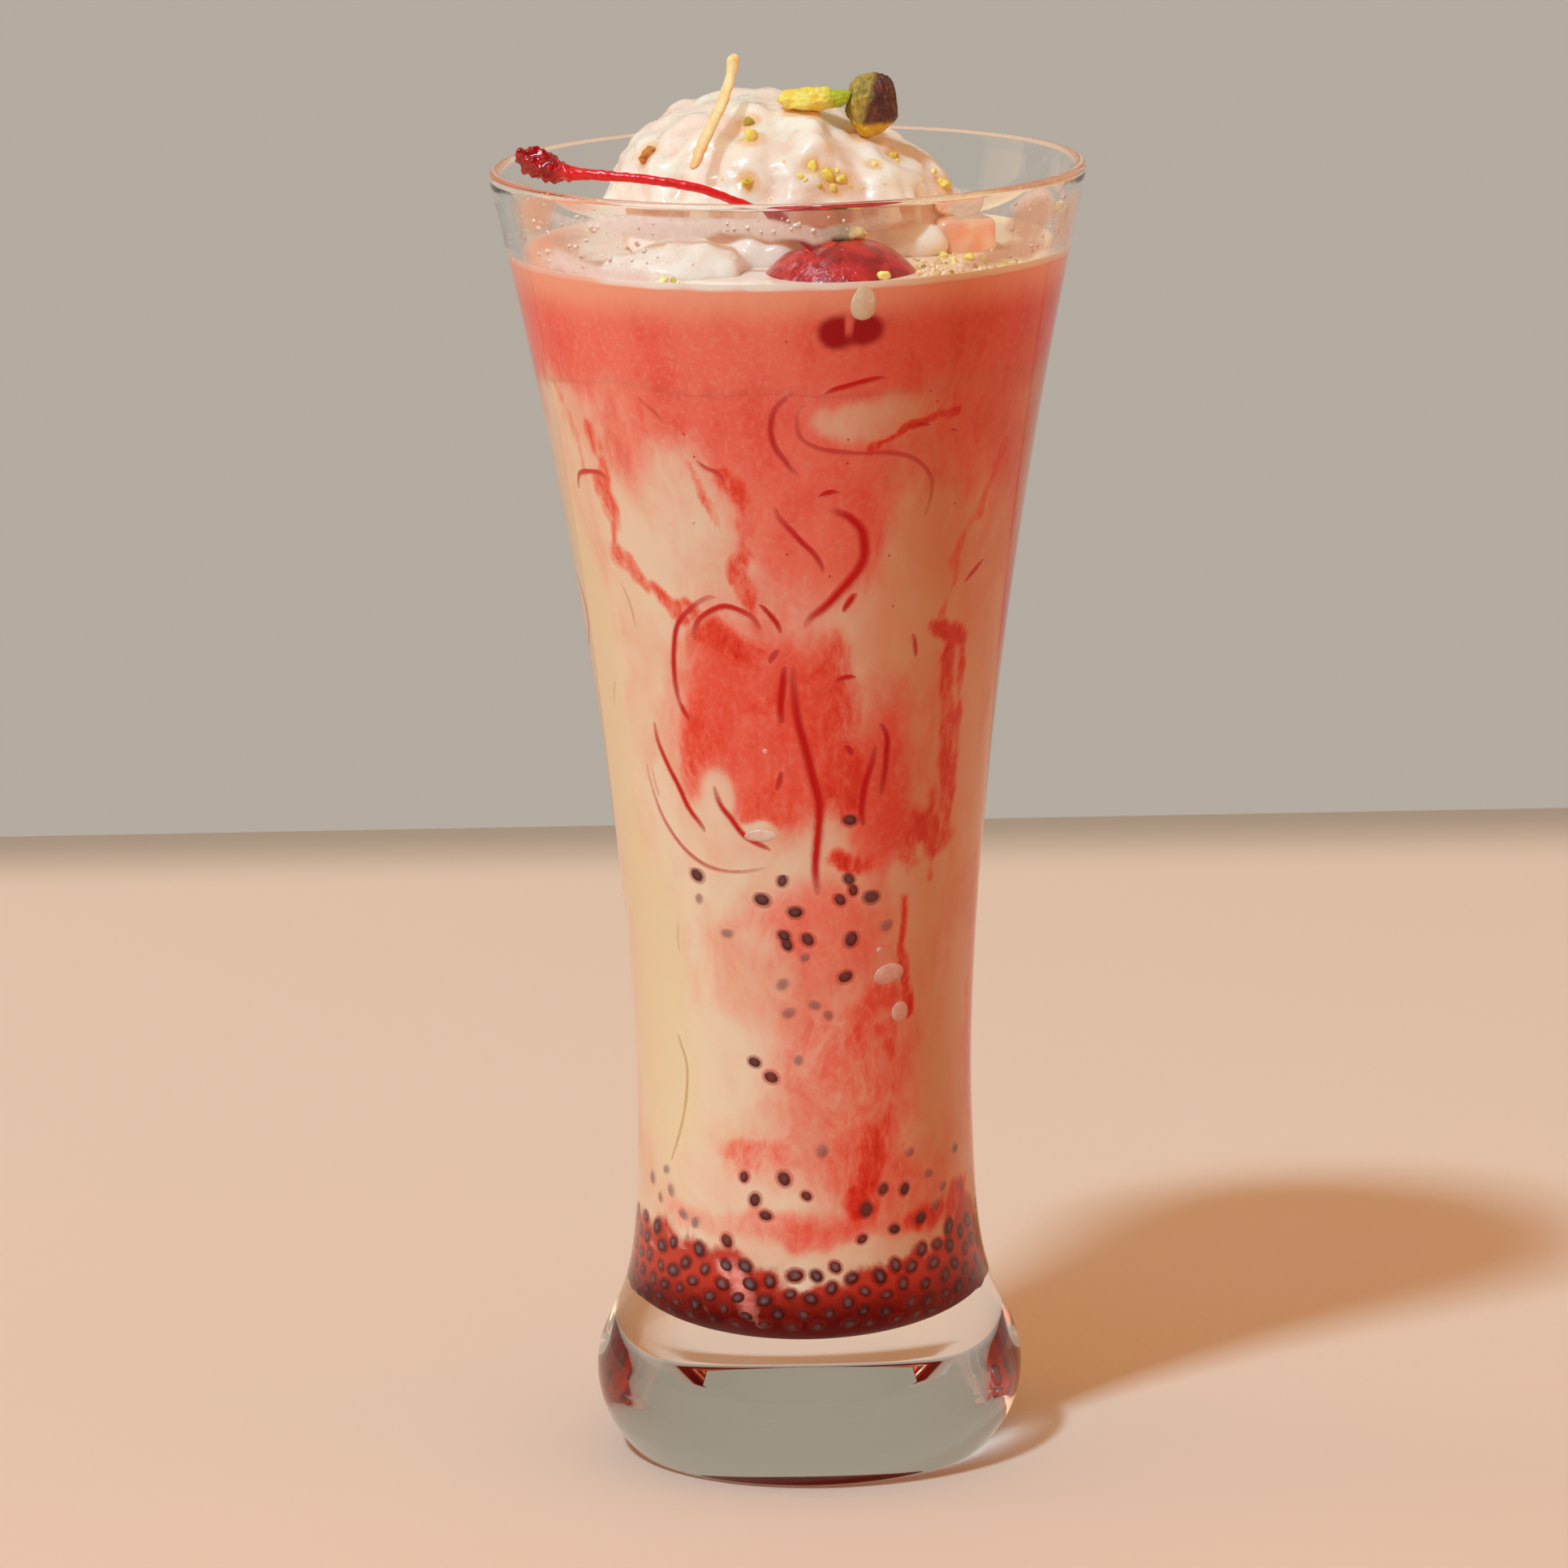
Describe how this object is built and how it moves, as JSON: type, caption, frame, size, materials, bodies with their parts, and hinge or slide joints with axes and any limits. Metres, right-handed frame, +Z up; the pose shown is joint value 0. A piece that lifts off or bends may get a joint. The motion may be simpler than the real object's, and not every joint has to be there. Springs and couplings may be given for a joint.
{
  "type": "falooda",
  "caption": "Tall flared footed glass of layered rose and cream milk over basil seeds, topped with an ice cream scoop, a cherry on its stem and pistachio.",
  "frame": {"origin": "middle of the glass foot, on the table plane", "axes": "+Z up along the glass, -Y towards the drinker, +X to the drinker's right"},
  "size_m": [0.0836, 0.0836, 0.2011],
  "materials": {
    "clear_glass": "clear, glossy",
    "seed_syrup": "wet syrup thick with dark seeds",
    "cream_milk": "smooth milk",
    "rose_milk": "smooth milk",
    "ice_cream": "soft, wet",
    "cherry": "wet skin",
    "cherry_stem": "satin",
    "vermicelli": "soft noodle",
    "pistachio_skin": "dry skin",
    "pistachio_meat": "broken nut",
    "pistachio_chip": "broken nut",
    "jelly": "wet jelly"
  },
  "bodies": {
    "root": {"glass": "clear_glass", "seed_layer": "seed_syrup", "cream_milk": "cream_milk", "rose_milk": "rose_milk", "ice_cream": "ice_cream", "cherry": "cherry", "cherry_stem": "cherry_stem", "vermicelli": "vermicelli", "pistachio_kernel": "pistachio_skin", "pistachio_flake": "pistachio_meat", "pistachio_chip": "pistachio_chip", "jelly_cube": "jelly"}
  },
  "joints": []
}
